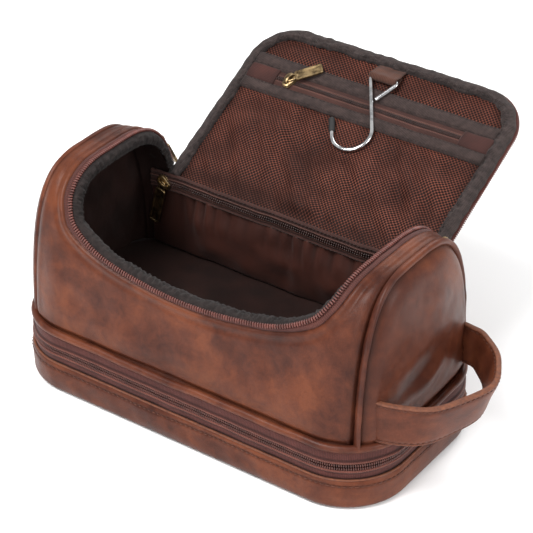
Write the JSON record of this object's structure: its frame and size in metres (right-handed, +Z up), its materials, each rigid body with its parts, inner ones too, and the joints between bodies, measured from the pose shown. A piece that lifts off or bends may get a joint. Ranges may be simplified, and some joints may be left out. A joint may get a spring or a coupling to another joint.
{
  "type": "hanging toiletry bag",
  "caption": "Arched leather toiletry bag with a zip-off lower tray, a padded fold-back lid holding a mesh pocket and a wire hanging hook, and a side carrying strap.",
  "frame": {"origin": "centre of the tray's underside, on the surface that the bag stands on", "axes": "+X along the bag towards the carrying strap, -Y to the front, +Z up"},
  "size_m": [0.2964, 0.2304, 0.1536],
  "materials": {
    "leather": "semi-gloss vintage polyurethane leather",
    "lining": "dark brown satin",
    "mesh": "brown mesh",
    "binding": "dark grey-brown woven tape",
    "webbing": "brown woven webbing",
    "zip_tape": "woven zip tape",
    "zip_coil": "nylon coil",
    "brass": "antique brass",
    "steel": "polished wire",
    "rubber": "matt",
    "board": "stiffening board",
    "padding": "foam and lining"
  },
  "bodies": {
    "tray": {"base_panel": "leather", "base_board": "board", "tray_wall": "leather", "tray_lining": "lining", "lower_zip_tape": "zip_tape", "lower_zip_coil": "zip_coil", "hinge_strip_lower": "leather", "bottom_slider": "brass"},
    "body": {"upper_zip_coil": "zip_coil", "upper_zip_tape": "zip_tape", "hinge_strip_upper": "leather", "bottom_piping": "leather", "floor_panel": "lining", "main_panel": "leather", "back_panel": "leather", "left_end_panel": "leather", "right_end_panel": "leather", "left_end_piping": "leather", "right_end_piping": "leather", "opening_zip_tape": "zip_tape", "opening_coil": "zip_coil", "opening_binding": "binding", "main_lining": "lining", "back_pocket_panel": "lining", "back_pocket_zip_tape": "zip_tape", "back_pocket_coil": "zip_coil", "handle_end_tabs": "leather", "main_slider_left": "brass", "main_slider_right": "brass"},
    "bottom_pull": {"bottom_pull": "brass"},
    "back_pocket_slider": {"back_pocket_slider": "brass"},
    "back_pocket_pull": {"back_pocket_pull": "brass"},
    "main_pull_left": {"main_pull_left": "brass"},
    "main_pull_right": {"main_pull_right": "brass"},
    "handle": {"handle_strap": "leather", "handle_backing": "leather"},
    "lid_back": {"lid_back_leather": "leather", "lid_back_binding": "binding", "lid_back_mesh": "mesh"},
    "lid_mid": {"lid_mid_leather": "leather", "lid_mid_binding": "binding", "lid_mid_mesh": "mesh", "lid_mid_zip_tape": "zip_tape", "lid_mid_coil": "zip_coil", "lid_mid_padding": "padding", "lid_pocket_zip_tape": "zip_tape", "lid_pocket_end_patches": "leather", "lid_webbing_lower": "binding", "lid_webbing_upper": "binding", "lid_pocket_coil": "zip_coil", "hook_loop": "webbing"},
    "lid_front": {"lid_front_leather": "leather", "lid_front_binding": "binding", "lid_front_mesh": "mesh", "lid_front_zip_tape": "zip_tape", "lid_front_coil": "zip_coil"},
    "lid_pocket_slider": {"lid_pocket_slider": "brass"},
    "lid_pocket_pull": {"lid_pocket_pull": "brass"},
    "hook": {"hook_wire": "steel", "hook_tip_cap": "rubber"}
  },
  "joints": [
    {"name": "tray_open", "type": "hinge", "parent": "tray", "child": "body", "pos_m": [0, 0.065, 0.029], "axis": [-1, 0, 0], "range_deg": [0, 40]},
    {"name": "lid", "type": "hinge", "parent": "body", "child": "lid_back", "pos_m": [0, 0.055, 0.097], "axis": [-1, 0, 0], "range_deg": [-96, 20]},
    {"name": "lid_bend_1", "type": "hinge", "parent": "lid_back", "child": "lid_mid", "pos_m": [0, 0.07619, 0.10827], "axis": [-1, 0, 0], "range_deg": [-38.4, 8]},
    {"name": "lid_bend_2", "type": "hinge", "parent": "lid_mid", "child": "lid_front", "pos_m": [0, 0.14815, 0.14653], "axis": [-1, 0, 0], "range_deg": [-59.52, 12.4]},
    {"name": "hook_swing", "type": "hinge", "parent": "lid_mid", "child": "hook", "pos_m": [0, 0.14338, 0.14762], "axis": [-1, 0, 0], "range_deg": [0, 160]},
    {"name": "lid_pocket_slide", "type": "slide", "parent": "lid_mid", "child": "lid_pocket_slider", "axis": [1, 0, 0], "range_m": [0, 0.024]},
    {"name": "lid_pocket_pull_swing", "type": "hinge", "parent": "lid_pocket_slider", "child": "lid_pocket_pull", "pos_m": [-0.0565, 0.12473, 0.13838], "axis": [0.658, -0.6649, -0.3535], "range_deg": [0, 120]},
    {"name": "back_pocket_slide", "type": "slide", "parent": "body", "child": "back_pocket_slider", "axis": [1, 0, 0], "range_m": [0, 0.18]},
    {"name": "back_pocket_pull_swing", "type": "hinge", "parent": "back_pocket_slider", "child": "back_pocket_pull", "pos_m": [-0.095, 0.0452, 0.0885], "axis": [-0.9684, 0, 0.2496], "range_deg": [0, 120]},
    {"name": "main_pull_left_swing", "type": "hinge", "parent": "body", "child": "main_pull_left", "pos_m": [-0.101, 0.05355, 0.11392], "axis": [1, 0, 0], "range_deg": [0, 120]},
    {"name": "main_pull_right_swing", "type": "hinge", "parent": "body", "child": "main_pull_right", "pos_m": [0.101, 0.05355, 0.11392], "axis": [1, 0, 0], "range_deg": [0, 120]},
    {"name": "bottom_pull_swing", "type": "hinge", "parent": "tray", "child": "bottom_pull", "pos_m": [-0.1308, 0.028, 0.029], "axis": [0, 1, 0], "range_deg": [0, 120]},
    {"name": "handle_swing", "type": "hinge", "parent": "body", "child": "handle", "pos_m": [0.1265, 0, 0.057], "axis": [0, 1, 0], "range_deg": [-12, 12]}
  ],
  "couplings": [
    {"joint": "lid_bend_1", "follows": "lid", "ratio": 0.4},
    {"joint": "lid_bend_2", "follows": "lid", "ratio": 0.62}
  ]
}
